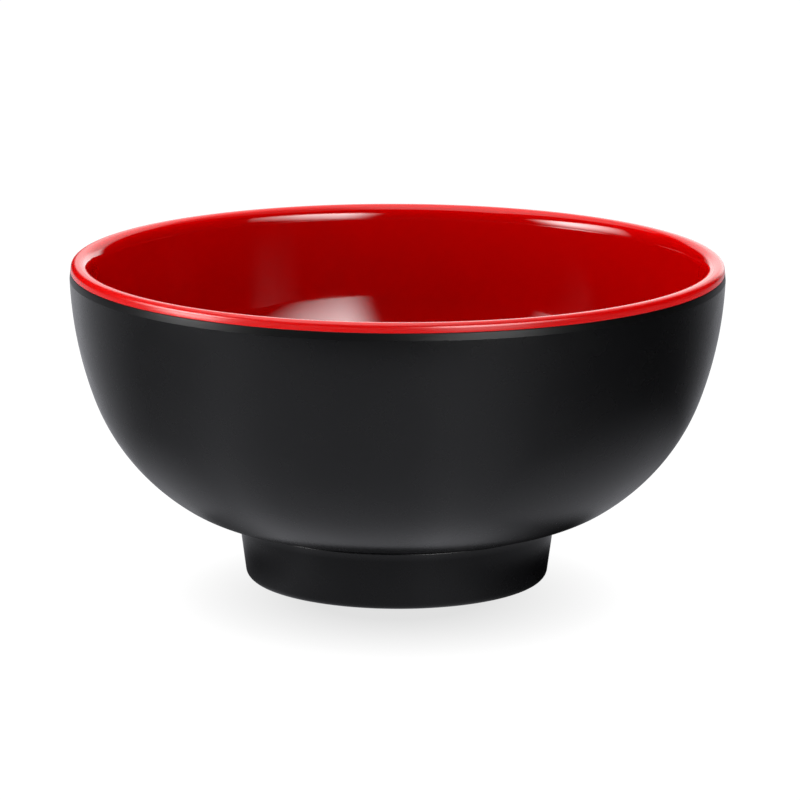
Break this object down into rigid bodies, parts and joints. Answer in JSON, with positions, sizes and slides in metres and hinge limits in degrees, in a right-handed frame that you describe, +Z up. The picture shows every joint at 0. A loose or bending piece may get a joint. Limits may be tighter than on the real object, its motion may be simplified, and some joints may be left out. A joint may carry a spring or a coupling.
{
  "type": "melamine bowl",
  "caption": "Round two-colour melamine bowl: satin black outer shell on a tapered foot ring, glossy red lining that turns over the edge as the lip.",
  "frame": {"origin": "on the bowl's axis, at the level that the foot ring stands on", "axes": "+Z up along the bowl's axis, out of its mouth; the bowl is round, so X and Y are free"},
  "size_m": [0.152, 0.152, 0.0749],
  "materials": {
    "black_melamine": "satin moulded melamine, fine even grain",
    "red_melamine": "polished moulded melamine, high gloss"
  },
  "bodies": {
    "root": {"outer_shell": "black_melamine", "inner_liner": "red_melamine"}
  },
  "joints": []
}
